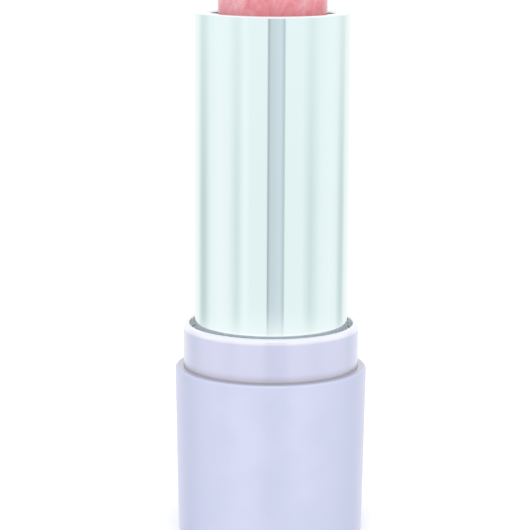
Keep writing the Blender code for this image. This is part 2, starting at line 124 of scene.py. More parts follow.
def add_node(
    tree: Tree,
    kind: str,
    settings: dict[str | int, object] | None = None,
    links: dict[str | int, Socket | Node] | None = None,
) -> Node:
    """Adds a node with its settings and links.

    Args:
        tree: the node tree of a material or the world.
        kind: the node's type after "ShaderNode", such as "TexNoise".
        settings: values by socket or property name, and a color ramp's positions with their
            colors under "stops".
        links: what each named input reads: a socket, or a node for its first output in use.

    Returns:
        The new node.
    """
    node = tree.nodes.new("ShaderNode" + kind)
    for name, value in (settings or {}).items():
        if name == "stops":
            elements = node.color_ramp.elements
            while len(elements) < len(value):
                elements.new(1.0)
            for element, (position, color) in zip(elements, value):
                element.position = position
                element.color = color
        elif isinstance(name, int) or name in node.inputs:
            node.inputs[name].default_value = value
        else:
            setattr(node, name, value)
    for name, source in (links or {}).items():
        if isinstance(source, Node):
            source = next(output for output in source.outputs if output.enabled)
        tree.links.new(source, node.inputs[name])
    return node


def new_material(name: str, shown: str) -> tuple[Material, Tree]:
    """Starts a material that has no nodes yet.

    Args:
        name: the material's name.
        shown: its colour in the viewport, in hex digits.

    Returns:
        The material and its node tree.
    """
    material = bpy.data.materials.new(name)
    material.use_nodes = True
    material.node_tree.nodes.clear()
    material.diffuse_color = linear(shown)
    return material, material.node_tree


def own_place(tree: Tree) -> tuple[Socket, Socket, Socket, Socket]:
    """Adds the place on a piece, in the piece's own metres.

    Args:
        tree: the material's node tree.

    Returns:
        The place, and its X, Y and Z.
    """
    place = add_node(tree, "TexCoord").outputs["Object"]
    return place, *add_node(tree, "SeparateXYZ", links={"Vector": place}).outputs


def distance(tree: Tree, x: Socket | Node, y: Socket | Node) -> Node:
    """Adds how far a place is from the origin of its X and Y.

    Args:
        tree: the material's node tree.
        x: its X.
        y: its Y.

    Returns:
        The node that gives the distance.
    """
    flat = add_node(tree, "CombineXYZ", links={"X": x, "Y": y})
    return add_node(tree, "VectorMath", {"operation": "LENGTH"}, {0: flat})


def heading_from_front(tree: Tree, x: Socket, y: Socket) -> Node:
    """Adds the direction of a place about the axis, seen from above.

    Args:
        tree: the node tree of a material or the world.
        x: its X.
        y: its Y.

    Returns:
        The node that gives it in radians: 0 towards the camera and positive to the right.
    """
    front = add_node(tree, "Math", {"operation": "MULTIPLY", 1: -1.0}, {0: y})
    return add_node(tree, "Math", {"operation": "ARCTAN2"}, {0: x, 1: front})


def turned_away(tree: Tree) -> Node:
    """Adds how far the surface has turned away from the eye.

    Args:
        tree: the material's node tree.

    Returns:
        The node that gives it: 0 where a wall faces the eye and 1 near its outline.
    """
    facing = add_node(tree, "LayerWeight", {"Blend": 0.5}).outputs["Facing"]
    low, high = SIDE_SHADE_SPAN
    soft = {"interpolation_type": "SMOOTHSTEP", "From Min": low, "From Max": high}
    return add_node(tree, "MapRange", soft, {"Value": facing})


def ray_is(tree: Tree, *kinds: str) -> Socket | Node:
    """Adds whether a ray is of one of the given kinds.

    Args:
        tree: the node tree of a material or the world.
        kinds: the kinds, as Light Path names them.

    Returns:
        What gives 1 for a ray of these kinds and 0 for every other ray.
    """
    ray = add_node(tree, "LightPath")
    found = ray.outputs[kinds[0]]
    for kind in kinds[1:]:
        found = add_node(tree, "Math", {"operation": "MAXIMUM"}, {0: found, 1: ray.outputs[kind]})
    return found


def fine_relief(
    tree: Tree, place: Socket, size: float, depth: float, detail: float
) -> tuple[Node, Node]:
    """Adds a fine irregular relief, such as grain or the peel of a lacquer.

    Args:
        tree: the material's node tree.
        place: the place on the piece.
        size: how wide a grain is.
        depth: how deep the relief is.
        detail: how many finer layers it has.

    Returns:
        The nodes that give its height, between 0 and 1, and its normal.
    """
    grain = add_node(tree, "TexNoise", {"Scale": 1.0 / size, "Detail": detail}, {"Vector": place})
    normal = add_node(tree, "Bump", {"Strength": 1.0, "Distance": depth}, {"Height": grain})
    return grain, normal


@dataclass(frozen=True)
class PearlLacquer:
    """Lavender lacquer with fine pearl, sprayed and baked: satin, cloudy as the pearl settled.

    It gives the eye an even lavender in which the studio's bands show softly, deeper where the wall
    turns away as a painted shade of its sides. The flat ring on top is painted a darker grey, as a
    painted shade under the collar that stands over it.
    """

    name: str = "lavender_lacquer"
    color: str = "d4d8f0"
    cloud_color: str = "cfd5ed"
    # Painted shade of the sides, where the wall turns away.
    side_shade_color: str = "c6cce6"
    # Painted shade on the flat ring on top, under the collar.
    ring_shade_color: str = "c5c4cd"
    cloud_size: float = 5.0 * MM
    cloud_span: Span = (0.35, 0.65)
    peel_size: float = 0.9 * MM
    peel_depth: float = 0.002 * MM
    roughness: float = 0.3
    metallic: float = 0.4
    # Where the ring's painted shade lies: above this height and inside this radius.
    ring_shade_above: float = 18.97 * MM
    ring_shade_radius: float = 10.5 * MM
    top_blur: float = 0.02 * MM
    rim_blur: float = 0.05 * MM

    def build(self) -> Material:
        """Makes the material.

        Returns:
            The lacquer, with painted shade on its sides and on the ring on top.
        """
        material, tree = new_material(self.name, self.color)
        place, x, y, z = own_place(tree)
        wide = {"Scale": 1.0 / self.cloud_size, "Detail": 2.0}
        cloud = add_node(tree, "TexNoise", wide, {"Vector": place})
        tones = zip(self.cloud_span, (linear(self.color), linear(self.cloud_color)))
        tone = add_node(tree, "ValToRGB", {"stops": list(tones)}, {"Fac": cloud})
        # Painted shade: the flat ring on top, under the collar, is painted grey.
        inside = {"From Min": self.ring_shade_radius, "From Max": self.ring_shade_radius - self.rim_blur}
        within = add_node(tree, "MapRange", inside, {"Value": distance(tree, x, y)})
        over = {"From Min": self.ring_shade_above - self.top_blur, "From Max": self.ring_shade_above}
        on_top = add_node(tree, "MapRange", over, {"Value": z})
        ring_shade = add_node(tree, "Math", {"operation": "MULTIPLY"}, {0: within, 1: on_top})
        # Painted shade: deeper where the wall turns away, and grey on the flat ring on top.
        for color, share in ((self.side_shade_color, turned_away(tree)), (self.ring_shade_color, ring_shade)):
            tint = {"data_type": "RGBA", 7: linear(color)}
            tone = add_node(tree, "Mix", tint, {0: share, 6: tone})
        _, normal = fine_relief(tree, place, self.peel_size, self.peel_depth, detail=1.0)
        shader = add_node(
            tree,
            "BsdfPrincipled",
            {"Roughness": self.roughness, "Metallic": self.metallic},
            {"Base Color": tone, "Normal": normal},
        )
        add_node(tree, "OutputMaterial", links={"Surface": shader})
        return material


@dataclass(frozen=True)
class AnodisedAluminium:
    """Aluminium, blasted fine and anodised lavender, with a lip turned bright and a matte bore.

    It gives the eye a soft satin wall, deeper where it turns away as a painted shade of its sides,
    under a lip that catches the light as one white line, partly a painted highlight in its paler
    colour. Its foot is painted a warm grey, a painted shade and a painted reflection of the ring it
    stands in.
    """

    name: str = "lavender_anodised"
    color: str = "d2d5ec"
    # Painted shade of the sides, where the wall turns away.
    side_shade_color: str = "ccd1e8"
    # The bright turned lip, paler in colour as a painted highlight of the light on it.
    lip_highlight_color: str = "eff0fa"
    lip_span: Span = (23.2 * MM, 23.5 * MM)
    # Painted shade and painted reflection of the ring at the foot, and the heights it fades over.
    foot_shade_color: str = "bebcc8"
    foot_shade_span: Span = (19.1 * MM, 19.9 * MM)
    bore_color: str = "f8f9fe"
    bore_radius: float = 9.44 * MM
    blast_size: float = 0.12 * MM
    blast_depth: float = 0.0004 * MM
    roughness: float = 0.22
    lip_roughness: float = 0.16
    metallic: float = 0.6

    def build(self) -> Material:
        """Makes the material.

        Returns:
            The anodised wall with its lip and painted highlight, its foot with painted shade, and its
            bore.
        """
        material, tree = new_material(self.name, self.color)
        place, x, y, z = own_place(tree)
        above_foot_shade, lip = (
            add_node(tree, "MapRange", {"From Min": low, "From Max": high}, {"Value": z})
            for low, high in (self.foot_shade_span, self.lip_span)
        )
        narrow = {"operation": "LESS_THAN", 1: self.bore_radius}
        bore = add_node(tree, "Math", narrow, {0: distance(tree, x, y)})
        # Painted shade: the wall is deeper in tone where it turns away.
        tones = {"data_type": "RGBA", 6: linear(self.color), 7: linear(self.side_shade_color)}
        wall = add_node(tree, "Mix", tones, {0: turned_away(tree)})
        # Painted shade: the warm grey at the foot of the wall, where the ring's shade and reflection
        # fall.
        foot = {"data_type": "RGBA", 6: linear(self.foot_shade_color)}
        tone = add_node(tree, "Mix", foot, {0: above_foot_shade, 7: wall})
        # The lip's paler colour is partly a painted highlight; the bore is matte and pale.
        for color, share in ((self.lip_highlight_color, lip), (self.bore_color, bore)):
            tint = {"data_type": "RGBA", 7: linear(color)}
            tone = add_node(tree, "Mix", tint, {0: share, 6: tone})
        gloss, metal = (
            add_node(tree, "MapRange", {"To Min": low, "To Max": high}, {"Value": share})
            for low, high, share in (
                (self.roughness, self.lip_roughness, lip),
                (self.metallic, 0.0, bore),
            )
        )
        _, normal = fine_relief(tree, place, self.blast_size, self.blast_depth, detail=1.0)
        shader = add_node(
            tree,
            "BsdfPrincipled",
            links={"Base Color": tone, "Metallic": metal, "Roughness": gloss, "Normal": normal},
        )
        add_node(tree, "OutputMaterial", links={"Surface": shader})
        return material


@dataclass(frozen=True)
class MirrorAluminium:
    """Aluminium drawn, polished and bright anodised clear: a mirror of cool, faintly green silver.

    It gives the eye the studio in upright bands, a little softened along the drawing lines. Its two
    ends are painted whiter, a painted highlight of the light that they catch.
    """

    name: str = "bright_aluminium"
    color: str = "e3f3f3"
    # Painted highlight: the whiter colour at both ends, and the heights where it fades in.
    end_highlight_color: str = "f6fbfe"
    foot_highlight: Span = (24.1 * MM, 24.3 * MM)
    mouth_highlight: Span = (58.66 * MM, 58.8 * MM)
    roughness: float = 0.05
    haze_span: Span = (0.8, 1.3)
    line_width: float = 0.25 * MM
    line_squeeze: float = 0.03

    def build(self) -> Material:
        """Makes the material.

        Returns:
            The mirror, with its ends painted whiter as highlights.
        """
        material, tree = new_material(self.name, self.color)
        place, _, _, z = own_place(tree)
        squeezed = {"Scale": (1.0, 1.0, self.line_squeeze)}
        drawn = add_node(tree, "Mapping", squeezed, {"Vector": place})
        fine = {"Scale": 1.0 / self.line_width, "Detail": 2.0}
        lines = add_node(tree, "TexNoise", fine, {"Vector": drawn})
        haze = add_node(
            tree,
            "MapRange",
            {
                "From Min": NOISE_SPAN[0],
                "From Max": NOISE_SPAN[1],
                "To Min": self.roughness * self.haze_span[0],
                "To Max": self.roughness * self.haze_span[1],
            },
            {"Value": lines},
        )
        low, high = self.foot_highlight[0], self.mouth_highlight[1]
        height = add_node(tree, "MapRange", {"From Min": low, "From Max": high}, {"Value": z})
        # Painted highlight: the colour turns whiter at the foot and at the mouth.
        middle, end = linear(self.color), linear(self.end_highlight_color)
        levels = [(level - low) / (high - low) for level in self.foot_highlight + self.mouth_highlight]
        tones = list(zip(levels, (end, middle, middle, end)))
        tone = add_node(tree, "ValToRGB", {"stops": tones}, {"Fac": height})
        links = {"Base Color": tone, "Roughness": haze}
        shader = add_node(tree, "BsdfPrincipled", {"Metallic": 1.0}, links)
        add_node(tree, "OutputMaterial", links={"Surface": shader})
        return material


@dataclass(frozen=True)
class RoseGel:
    """Wax gel, dyed rose and cast in a polished mould: glossy, cloudy below and clearer above.

    It gives the eye a bright pink. Close to the flower it takes up its dye, in streaks that fan out
    as the veins of the petals do. Above, light passes through it, and it is deeper in colour where
    it is thicker.
    """

    name: str = "rose_gel"
    viewport_color: str = "f0a0aa"
    color: str = "ffc3ca"
    streak_color: str = "fb919e"
    near_color: str = "f28492"
    near_share: float = 0.6
    near_reach: float = 0.25
    clear_color: str = "ffb6c0"
    clear_span: Span = (60.4 * MM, 67.0 * MM)
    fans: int = 5
    fan_foot: float = 57.6 * MM
    fan_radius: float = 6.05 * MM
    fan_reach: float = 4.5 * MM
    streaks: float = 2.2
    depth_color: Color = (0.94, 0.4, 0.5, 1.0)
    depth_density: float = 25.0
    roughness: float = 0.1
    ior: float = 1.45
    cloudy_transmission: float = 0.15
    clear_transmission: float = 0.55

    def add_fans(self, tree: Tree, x: Socket, y: Socket, z: Socket) -> tuple[Node, Node]:
        """Adds the streaks, which fan out from points spaced evenly round the stick.

        Args:
            tree: the material's node tree.
            x: the place's X.
            y: its Y.
            z: its Z.

        Returns:
            The nodes that give the streaks, and how far along its fan a place is.
        """
        heading = heading_from_front(tree, x, y)
        half = math.pi / self.fans
        side = add_node(tree, "Math", {"operation": "WRAP", 1: half, 2: -half}, {0: heading})
        across = add_node(tree, "Math", {"operation": "MULTIPLY", 1: self.fan_radius}, {0: side})
        rise = add_node(tree, "Math", {"operation": "SUBTRACT", 1: self.fan_foot}, {0: z})
        turn = add_node(tree, "Math", {"operation": "ARCTAN2"}, {0: across, 1: rise})
        far = distance(tree, across, rise)
        reach = add_node(tree, "MapRange", {"From Max": self.fan_reach}, {"Value": far})
        fan = add_node(tree, "CombineXYZ", links={"X": turn, "Y": reach, "Z": heading})
        veins = {"Scale": self.streaks, "Detail": 3.0, "Roughness": 0.6, "Distortion": 0.25}
        return add_node(tree, "TexNoise", veins, {"Vector": fan}), reach

    def build(self) -> Material:
        """Makes the material.

        Returns:
            The gel, cloudy and streaked below and clear above.
        """
        material, tree = new_material(self.name, self.viewport_color)
        _, x, y, z = own_place(tree)
        streak, reach = self.add_fans(tree, x, y, z)
        tones = zip(STREAK_SPAN, (linear(self.streak_color), linear(self.color)))
        tone = add_node(tree, "ValToRGB", {"stops": list(tones)}, {"Fac": streak})
        near = {"From Min": self.near_reach, "To Min": self.near_share, "To Max": 0.0}
        nearness = add_node(tree, "MapRange", near, {"Value": reach})
        low, high = self.clear_span
        soft = {"interpolation_type": "SMOOTHSTEP", "From Min": low, "From Max": high}
        clear = add_node(tree, "MapRange", soft, {"Value": z})
        for color, share in ((self.near_color, nearness), (self.clear_color, clear)):
            tint = {"data_type": "RGBA", 7: linear(color)}
            tone = add_node(tree, "Mix", tint, {0: share, 6: tone})
        thinned = {"To Min": self.cloudy_transmission, "To Max": self.clear_transmission}
        through = add_node(tree, "MapRange", thinned, {"Value": clear})
        dye = {"Color": self.depth_color, "Density": self.depth_density}
        depth = add_node(tree, "VolumeAbsorption", dye)
        shader = add_node(
            tree,
            "BsdfPrincipled",
            {"Roughness": self.roughness, "IOR": self.ior},
            {"Base Color": tone, "Transmission Weight": through},
        )
        add_node(tree, "OutputMaterial", links={"Surface": shader, "Volume": depth})
        return material


@dataclass(frozen=True)
class Petal:
    """Dried petal, pressed thin.

    It gives the eye deep rose veins that run along it on a paler ground, and a pale tip.
    """

    name: str = "dried_petal"
    vein_color: str = "d04460"
    ground_color: str = "fbc6cf"
    tip_color: str = "ffe6ea"
    tip_from: float = 0.35
    tip_share: float = 0.8
    vein_count: float = 9.0
    vein_waves: float = 1.2
    roughness: float = 0.5
    scatter: float = 0.3
    scatter_reach: Tint = (1.0 * MM, 0.4 * MM, 0.4 * MM)

    def build(self) -> Material:
        """Makes the material.

        Returns:
            The petal's finish, on its own UV map.
        """
        material, tree = new_material(self.name, self.ground_color)
        place = add_node(tree, "UVMap", {"uv_map": "petal"})
        narrow = {"Scale": (self.vein_count, self.vein_waves, 1.0)}
        along = add_node(tree, "Mapping", narrow, {"Vector": place})
        fine = {"Scale": 1.0, "Detail": 3.0, "Distortion": 0.4}
        veins = add_node(tree, "TexNoise", fine, {"Vector": along})
        tones = zip(STREAK_SPAN, (linear(self.vein_color), linear(self.ground_color)))
        ground = add_node(tree, "ValToRGB", {"stops": list(tones)}, {"Fac": veins})
        _, length, _ = add_node(tree, "SeparateXYZ", links={"Vector": place}).outputs
        pale = {"From Min": self.tip_from, "To Max": self.tip_share}
        tip = add_node(tree, "MapRange", pale, {"Value": length})
        tint = {"data_type": "RGBA", 7: linear(self.tip_color)}
        shader = add_node(
            tree,
            "BsdfPrincipled",
            {
                "Roughness": self.roughness,
                "Subsurface Weight": self.scatter,
                "Subsurface Radius": self.scatter_reach,
                "Subsurface Scale": 1.0,
            },
            {"Base Color": add_node(tree, "Mix", tint, {0: tip, 6: ground})},
        )
        add_node(tree, "OutputMaterial", links={"Surface": shader})
        return material


@dataclass(frozen=True)
class MouldedPlastic:
    """Injection moulded acetal, nylon or silicone.

    It gives the eye a milky matte with the fine spark texture of the tool.
    """

    name: str
    color: str
    roughness: float = 0.4
    gloss_change: float = 0.06
    grain_size: float = 0.15 * MM
    grain_depth: float = 0.002 * MM
    scatter: float = 0.2
    scatter_reach: Tint = (0.5 * MM, 0.5 * MM, 0.5 * MM)

    def build(self) -> Material:
        """Makes the material.

        Returns:
            The plastic, a little shinier in the hollows of its grain.
        """
        material, tree = new_material(self.name, self.color)
        place = add_node(tree, "TexCoord").outputs["Object"]
        grain, normal = fine_relief(tree, place, self.grain_size, self.grain_depth, detail=2.0)
        gloss = add_node(
            tree,
            "MapRange",
            {
                "From Min": NOISE_SPAN[0],
                "From Max": NOISE_SPAN[1],
                "To Min": self.roughness - self.gloss_change,
                "To Max": self.roughness + self.gloss_change,
            },
            {"Value": grain},
        )
        shader = add_node(
            tree,
            "BsdfPrincipled",
            {
                "Base Color": linear(self.color),
                "Subsurface Weight": self.scatter,
                "Subsurface Radius": self.scatter_reach,
                "Subsurface Scale": 1.0,
            },
            {"Normal": normal, "Roughness": gloss},
        )
        add_node(tree, "OutputMaterial", links={"Surface": shader})
        return material


@dataclass(frozen=True)
class PlatedSteel:
    """Turned steel, zinc plated.

    It gives the eye grey metal with the rings that the lathe tool leaves.
    """

    name: str = "zinc_plated_steel"
    color: str = "c4c6c8"
    ring_pitch: float = 0.754 * MM
    ring_depth: float = 0.003 * MM
    roughness: float = 0.35

    def build(self) -> Material:
        """Makes the material.

        Returns:
            The steel, with its rings about the axis.
        """
        material, tree = new_material(self.name, self.color)
        place = add_node(tree, "TexCoord").outputs["Object"]
        scale = FULL_TURN / self.ring_pitch / WAVE_RADIANS
        wave = {"wave_type": "RINGS", "rings_direction": "Z", "Scale": scale, "Distortion": 0.3}
        rings = add_node(tree, "TexWave", wave, {"Vector": place}).outputs["Fac"]
        relief = {"Strength": 1.0, "Distance": self.ring_depth}
        shader = add_node(
            tree,
            "BsdfPrincipled",
            {"Base Color": linear(self.color), "Metallic": 1.0, "Roughness": self.roughness},
            {"Normal": add_node(tree, "Bump", relief, {"Height": rings})},
        )
        add_node(tree, "OutputMaterial", links={"Surface": shader})
        return material


@dataclass(frozen=True)
class Corner:
    """A corner of a turned profile, and how far its rounding reaches, if it has one."""

    radius: float
    height: float
    rounding: float = 0.0
    segments: int = 6

    def meets(self, vert: bmesh.types.BMVert) -> bool:
        """Whether a vertex lies on the circle that the corner makes when it is turned."""
        return abs(vert.co.xy.length - self.radius) < NEAR and abs(vert.co.z - self.height) < NEAR


def held_profile(corners: list[Corner], closed: bool) -> list[Point]:
    """Adds a point just outside each rounding, so that the rounding's smooth shading ends there.

    Args:
        corners: the profile's corners in order.
        closed: whether the last corner joins the first.

    Returns:
        The profile's points as (radius, height) pairs.
    """
    points = []
    for index, corner in enumerate(corners):
        spot = Vector((corner.radius, corner.height))
        before = corners[index - 1] if index or closed else None
        after = corners[(index + 1) % len(corners)] if closed or index + 1 < len(corners) else None
        for neighbour in (before, None, after):
            if neighbour is None:
                if not points or points[-1] != tuple(spot):
                    points.append(tuple(spot))
            elif corner.rounding:
                way = (Vector((neighbour.radius, neighbour.height)) - spot).normalized()
                points.append(tuple(spot + way * (corner.rounding + HOLD_WIDTH)))
    return points


def round_edges(bm: Shape, edges: list[bmesh.types.BMEdge], reach: float, segments: int) -> None:
    """Rounds edges of a shape.

    Args:
        bm: the shape.
        edges: the edges.
        reach: how far the rounding reaches from each edge.
        segments: how many faces it has across.
    """
    bmesh.ops.bevel(
        bm,
        geom=edges,
        offset=reach,
        segments=segments,
        profile=0.5,
        affect="EDGES",
        material=-1,
        clamp_overlap=True,
    )


def turned(corners: list[Corner], closed: bool, sides: int) -> Shape:
    """Spins a profile about the axis and rounds its corners.

    Args:
        corners: the profile's corners in order.
        closed: whether the last corner joins the first, as on a ring.
        sides: how many faces go round.

    Returns:
        The turned shape, with its poles closed and its faces outwards.
    """
    bm = bmesh.new()
    points = held_profile(corners, closed)
    verts = [bm.verts.new((radius, 0.0, height)) for radius, height in points]
    pairs = list(zip(verts, verts[1:]))
    if closed:
        pairs.append((verts[-1], verts[0]))
    edges = [bm.edges.new(pair) for pair in pairs]
    bmesh.ops.spin(
        bm,
        geom=verts + edges,
        cent=(0.0, 0.0, 0.0),
        axis=(0.0, 0.0, 1.0),
        dvec=(0.0, 0.0, 0.0),
        angle=FULL_TURN,
        steps=sides,
        use_merge=True,
    )
    bmesh.ops.remove_doubles(bm, verts=bm.verts, dist=WELD)
    bmesh.ops.recalc_face_normals(bm, faces=bm.faces)
    for corner in corners:
        if corner.rounding:
            circle = [edge for edge in bm.edges if all(corner.meets(vert) for vert in edge.verts)]
            round_edges(bm, circle, corner.rounding, corner.segments)
    return bm


def add_shape(whole: Shape, part: Shape) -> None:
    """Adds one shape to another and frees it.

    Args:
        whole: the shape that is added to.
        part: the shape that is added, and used up.
    """
    mesh = bpy.data.meshes.new("part")
    part.to_mesh(mesh)
    part.free()
    whole.from_mesh(mesh)
    bpy.data.meshes.remove(mesh)


def make_piece(name: str, bm: Shape, material: Material, body: Body) -> bpy.types.Object:
    """Makes an object of a shape and lets it ride on a body.

    Args:
        name: the piece's name.
        bm: its shape, which is used up.
        material: its finish.
        body: the body that it moves with.

    Returns:
        The object, smooth between its edges.
    """
    mesh = bpy.data.meshes.new(name)
    bm.to_mesh(mesh)
    bm.free()
    mesh.materials.append(material)
    mesh.shade_smooth()
    mesh.set_sharp_from_angle(angle=SHARP_ANGLE)
    piece = bpy.data.objects.new(name, mesh)
    bpy.context.scene.collection.objects.link(piece)
    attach(piece, body.value)
    LOG.info("%s: %d faces, rides on %s", name, len(mesh.polygons), body.value)
    return piece


def dress_node(node: bpy.types.Object, material: Material) -> None:
    """Gives a CAD node its finish.

    Args:
        node: the node's object.
        material: the finish for its material slots.
    """
    if not node.material_slots:
        node.data.materials.append(None)
    for slot in node.material_slots:
        slot.material = material
    LOG.info("%s: dressed in %s", node.name, material.name)


@dataclass
class Base:
    """The lacquered shell, the collar that stands out of it, and the insert and weight inside."""

    rim_radius: float = 10.8 * MM
    foot_radius: float = 10.45 * MM
    height: float = 19.0 * MM
    mouth_radius: float = 9.86 * MM
    bore: float = 9.4 * MM
    step_height: float = 12.0 * MM
    floor_top: float = 1.6 * MM
    recess_radius: float = 8.6 * MM
    recess_depth: float = 0.4 * MM
    rim_round: float = 0.3 * MM
    mouth_round: float = 0.03 * MM
    foot_round: float = 0.5 * MM
    collar_radius: float = 9.85 * MM
    collar_bore: float = 9.4 * MM
    collar_foot: float = 12.3 * MM
    collar_top: float = 23.92 * MM
    lip_bore: float = 9.25 * MM
    lip_foot: float = 22.95 * MM
    lip_round: float = 0.4 * MM
    lip_inner_round: float = 0.06 * MM
    sides: int = 192
    lacquer: PearlLacquer = PearlLacquer()
    anodised: AnodisedAluminium = AnodisedAluminium()
    insert_plastic: MouldedPlastic = MouldedPlastic("natural_nylon", "f2f3f2")
    steel: PlatedSteel = PlatedSteel()

    def build_shell(self) -> None:
        """Turns the shell: a slightly tapered wall, rounded at rim and foot, recessed below."""
        bm = turned(
            [
                Corner(0.0, self.floor_top),
                Corner(self.bore, self.floor_top),
                Corner(self.bore, self.step_height),
                Corner(self.mouth_radius, self.step_height),
                Corner(self.mouth_radius, self.height, self.mouth_round, segments=3),
                Corner(self.rim_radius, self.height, self.rim_round),
                Corner(self.foot_radius, 0.0, self.foot_round),
                Corner(self.recess_radius, 0.0, self.mouth_round, segments=3),
                Corner(self.recess_radius, self.recess_depth),
                Corner(0.0, self.recess_depth),
            ],
            closed=False,
            sides=self.sides,
        )
        shell = make_piece("shell", bm, self.lacquer.build(), Body.BASE)
        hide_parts("base_shell")

    def build_collar(self) -> None:
        """Turns the collar: a thin ring with a thicker lip, rounded over at its top."""
        bm = turned(
            [
                Corner(self.collar_radius, self.collar_top, self.lip_round, segments=8),
                Corner(self.collar_radius, self.collar_foot),
                Corner(self.collar_bore, self.collar_foot),
                Corner(self.collar_bore, self.lip_foot),
                Corner(self.lip_bore, self.lip_foot),
                Corner(self.lip_bore, self.collar_top, self.lip_inner_round, segments=4),
            ],
            closed=True,
            sides=self.sides,
        )
        ring = make_piece("collar_ring", bm, self.anodised.build(), Body.BASE)
        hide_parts("collar")

    def build(self, nodes: Nodes) -> None:
        """Builds the shell and the collar and dresses the pieces inside.

        Args:
            nodes: the frame's nodes by name.
        """
        self.build_shell()
        self.build_collar()
        dress_node(nodes["base_insert"], self.insert_plastic.build())
        dress_node(nodes["base_weight"], self.steel.build())


@dataclass
class Sleeve:
    """The mirror sleeve, turned inwards at its top, with the spiral cam inside it."""

    radius: float = 8.6 * MM
    bore: float = 8.2 * MM
    mouth_radius: float = 7.2 * MM
    foot: float = 20.9 * MM
    top: float = 58.88 * MM
    lip_thickness: float = 0.55 * MM
    shoulder_round: float = 0.28 * MM
    mouth_round: float = 0.34 * MM
    inner_round: float = 0.05 * MM
    sides: int = 192
    mirror: MirrorAluminium = MirrorAluminium()
    cam_plastic: MouldedPlastic = MouldedPlastic("white_acetal", "f0f0ec", roughness=0.3)

    def build_tube(self) -> None:
        """Turns the sleeve with its rounded shoulder and its rolled mouth."""
        under_lip = self.top - self.lip_thickness
        bm = turned(
            [
                Corner(self.mouth_radius, self.top, self.mouth_round),
                Corner(self.radius, self.top, self.shoulder_round, segments=8),
                Corner(self.radius, self.foot, self.inner_round, segments=2),
                Corner(self.bore, self.foot),
                Corner(self.bore, under_lip),
                Corner(self.mouth_radius, under_lip, self.inner_round),
            ],
            closed=True,
            sides=self.sides,
        )
        tube = make_piece("sleeve_tube", bm, self.mirror.build(), Body.SLEEVE)
        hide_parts("outer_sleeve")

    def build(self, nodes: Nodes) -> None:
        """Builds the tube and dresses the cam.

        Args:
            nodes: the frame's nodes by name.
        """
        self.build_tube()
        dress_node(nodes["spiral_cam"], self.cam_plastic.build())


@dataclass
class Mechanism:
    """The pieces between base and bullet: the guide tube, the carrier cup and the brake washer."""

    guide_plastic: MouldedPlastic = MouldedPlastic("guide_nylon", "f1f1ee")
    cup_plastic: MouldedPlastic = MouldedPlastic("cup_acetal", "f2f2ee", roughness=0.3)
    silicone: MouldedPlastic = MouldedPlastic("grey_silicone", "8a8c90", roughness=0.7, scatter=0.0)

    def build(self, nodes: Nodes) -> None:
        """Dresses the pieces.

        Args:
            nodes: the frame's nodes by name.
        """
        dress_node(nodes["guide_tube"], self.guide_plastic.build())
        dress_node(nodes["carrier_cup"], self.cup_plastic.build())
        dress_node(nodes["brake_washer"], self.silicone.build())


@dataclass
class Bullet:
    """The stick of rose gel, with its domed end cut on the slant."""

    radius: float = 6.05 * MM
    foot: float = 47.0 * MM
    top: float = 75.5 * MM
    dome_height: float = 9.5 * MM
    dome_steps: int = 20
    tip_setback: float = 1.0 * MM
    slant_angle: float = math.radians(50)
    slant_round: float = 0.25 * MM
    slant_segments: int = 4
    sides: int = 160
    gel: RoseGel = RoseGel()
    # How near the cut's points are welded, and the least turn, in radians, of a rounded edge.
    cut_weld: float = 0.01 * MM
    least_turn: float = 0.3

    def build(self) -> None:
        """Turns the stick, cuts its domed end on the slant and softens the cut's edge."""
        kept_share = math.sqrt(1.0 - (self.tip_setback / self.radius) ** 2)
        dome_foot = self.top - self.dome_height * kept_share
        corners = [Corner(0.0, self.foot), Corner(self.radius, self.foot)]
        for step in range(self.dome_steps + 1):
            angle = QUARTER_TURN * step / self.dome_steps
            height = dome_foot + self.dome_height * math.sin(angle)
            corners.append(Corner(self.radius * math.cos(angle), height))
        bm = turned(corners, closed=False, sides=self.sides)
        cut = bmesh.ops.bisect_plane(
            bm,
            geom=bm.verts[:] + bm.edges[:] + bm.faces[:],
            plane_co=(0.0, self.tip_setback, self.top),
            plane_no=(0.0, -math.sin(self.slant_angle), math.cos(self.slant_angle)),
            clear_outer=True,
        )
        rim = [item for item in cut["geom_cut"] if isinstance(item, bmesh.types.BMEdge)]
        bmesh.ops.holes_fill(bm, edges=rim)
        bmesh.ops.remove_doubles(bm, verts=bm.verts, dist=self.cut_weld)
        slant = max(bm.faces, key=lambda face: len(face.verts))
        rim = [edge for edge in slant.edges if edge.calc_face_angle(0.0) > self.least_turn]
        round_edges(bm, rim, self.slant_round, self.slant_segments)
        bmesh.ops.recalc_face_normals(bm, faces=bm.faces)
        stick = make_piece("gel_stick", bm, self.gel.build(), Body.CARRIER)
        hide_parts("bullet")


@dataclass(frozen=True)
class PetalRing:
    """One ring of petals: how many, how high, how steep in degrees, how far turned and how large.

    turn_share is the share of the way to the next petal by which the ring is turned.
    """

    count: int
    lift: float
    root_rise: float
    tip_rise: float
    turn_share: float
    reach: float
    half_width: float


